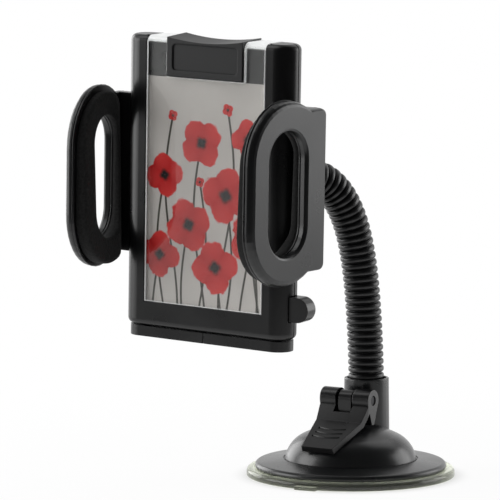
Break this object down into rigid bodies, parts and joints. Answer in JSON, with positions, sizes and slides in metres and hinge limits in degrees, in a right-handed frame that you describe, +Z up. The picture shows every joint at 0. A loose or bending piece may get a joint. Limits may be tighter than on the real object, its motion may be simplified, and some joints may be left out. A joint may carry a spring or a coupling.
{
  "type": "car phone mount",
  "caption": "Suction-cup car phone mount with a lock lever, a ribbed gooseneck, a ball joint and a cradle with a card window whose padded arms clamp the phone.",
  "frame": {"origin": "centre of the suction cup's lower face, on the surface it stands on", "axes": "+Z up out of that surface, -Y the way the lever and the cradle face, +X to the right of someone facing them"},
  "size_m": [0.1204, 0.1447, 0.1817],
  "materials": {
    "black_plastic": "fine moulded satin",
    "satin_plastic": "smooth satin",
    "ribbed_sleeve": "soft satin",
    "clear_vinyl": "clear, slightly milky",
    "clear_acrylic": "clear gloss",
    "foam": "matt closed-cell foam",
    "printed_card": "printed card",
    "steel": "turned",
    "acetal": "moulded"
  },
  "bodies": {
    "base": {"suction_cup": "clear_vinyl", "base_housing": "satin_plastic", "lower_ferrule": "steel"},
    "stem": {"cup_stem": "black_plastic", "lever_pin": "steel"},
    "lever": {"lock_lever": "black_plastic"},
    "neck": {"gooseneck_sleeve": "ribbed_sleeve", "gooseneck_core": "steel"},
    "head": {"upper_ferrule": "black_plastic", "ball_stud": "steel"},
    "pan": {"ball_liner_front": "acetal"},
    "tilt": {"ball_liner_rear": "acetal"},
    "cradle": {"front_frame": "black_plastic", "rear_cover": "black_plastic", "display_card": "printed_card", "case_screws": "steel", "pinion_pin": "steel", "pawl_pin": "steel", "foot_pins": "steel", "opening_spring": "steel", "button_spring": "steel"},
    "ring": {"lock_ring": "black_plastic"},
    "right_arm": {"right_arm_carrier": "black_plastic", "right_arm_cover": "satin_plastic", "right_arm_pad": "foam"},
    "left_arm": {"left_arm_carrier": "black_plastic", "left_arm_cover": "satin_plastic", "left_arm_pad": "foam"},
    "gear": {"pinion": "acetal"},
    "button": {"release_button": "satin_plastic"},
    "pawl": {"ratchet_pawl": "acetal"},
    "foot_right": {"right_foot": "satin_plastic"},
    "foot_left": {"left_foot": "satin_plastic"},
    "cover": {"clear_cover": "clear_acrylic", "cover_grip": "satin_plastic"}
  },
  "joints": [
    {"name": "lever_lift", "type": "hinge", "parent": "stem", "child": "lever", "pos_m": [0, -0.0014, 0.031], "axis": [-1, 0, 0], "range_deg": [0, 95]},
    {"name": "stem_drop", "type": "slide", "parent": "base", "child": "stem", "axis": [0, 0, -1], "range_m": [0, 0.003], "deforming": ["suction_cup"]},
    {"name": "neck_lean", "type": "hinge", "parent": "base", "child": "neck", "pos_m": [-0.00053, 0.01195, 0.05997], "axis": [-0.4493, -0.8934, 0], "range_deg": [-15, 15], "deforming": ["gooseneck_sleeve", "gooseneck_core"]},
    {"name": "neck_bend", "type": "hinge", "parent": "neck", "child": "head", "pos_m": [-0.00429, 0.00447, 0.10564], "axis": [0.8934, -0.4493, 0], "range_deg": [-20, 12], "deforming": ["gooseneck_sleeve", "gooseneck_core"]},
    {"name": "cradle_pan", "type": "hinge", "parent": "head", "child": "pan", "pos_m": [-0.02799, -0.04265, 0.12223], "axis": [0.0384, -0.0314, 0.9988], "range_deg": [-58.2, 4.8]},
    {"name": "cradle_tilt", "type": "hinge", "parent": "pan", "child": "tilt", "pos_m": [-0.02799, -0.04265, 0.12223], "axis": [0.9993, 0, -0.0384], "range_deg": [-25.3, 21.7]},
    {"name": "cradle_turn", "type": "hinge", "parent": "tilt", "child": "cradle", "pos_m": [-0.02799, -0.04265, 0.12223], "axis": [0.0012, 0.9995, 0.0314], "continuous": true},
    {"name": "ring_turn", "type": "hinge", "parent": "cradle", "child": "ring", "pos_m": [-0.02799, -0.04265, 0.12223], "axis": [0.0012, 0.9995, 0.0314], "range_deg": [0, 270]},
    {"name": "right_arm_slide", "type": "slide", "parent": "cradle", "child": "right_arm", "axis": [0.9993, 0, -0.0384], "range_m": [-0.0025, 0.012], "deforming": ["opening_spring"]},
    {"name": "left_arm_slide", "type": "slide", "parent": "cradle", "child": "left_arm", "axis": [-0.9993, 0, 0.0384], "range_m": [-0.0025, 0.012]},
    {"name": "pinion_spin", "type": "hinge", "parent": "cradle", "child": "gear", "pos_m": [-0.02793, -0.06046, 0.12387], "axis": [0.0012, 0.9995, 0.0314], "range_deg": [-24.9, 115.6]},
    {"name": "button_press", "type": "slide", "parent": "cradle", "child": "button", "axis": [-0.9993, 0, 0.0384], "range_m": [0, 0.003], "stiffness_N_per_m": 400, "springref_m": -0.004, "deforming": ["button_spring"]},
    {"name": "pawl_swing", "type": "hinge", "parent": "cradle", "child": "pawl", "pos_m": [-0.01055, -0.05915, 0.08135], "axis": [0.0012, 0.9995, 0.0314], "range_deg": [0, 18]},
    {"name": "right_foot_swing", "type": "hinge", "parent": "cradle", "child": "foot_right", "pos_m": [0.00063, -0.05856, 0.06231], "axis": [0.0384, -0.0314, 0.9988], "range_deg": [0, 90]},
    {"name": "left_foot_swing", "type": "hinge", "parent": "cradle", "child": "foot_left", "pos_m": [-0.06112, -0.05856, 0.06468], "axis": [-0.0384, 0.0314, -0.9988], "range_deg": [0, 90]},
    {"name": "cover_lift", "type": "slide", "parent": "cradle", "child": "cover", "axis": [-0.0384, 0.0314, -0.9988], "range_m": [-0.11, 0]}
  ],
  "couplings": [
    {"joint": "stem_drop", "follows": "lever_lift", "m_per_rad": 0.0018093},
    {"joint": "left_arm_slide", "follows": "right_arm_slide", "ratio": 1},
    {"joint": "pinion_spin", "follows": "right_arm_slide", "rad_per_m": 166.67},
    {"joint": "pawl_swing", "follows": "button_press", "rad_per_m": 100}
  ]
}
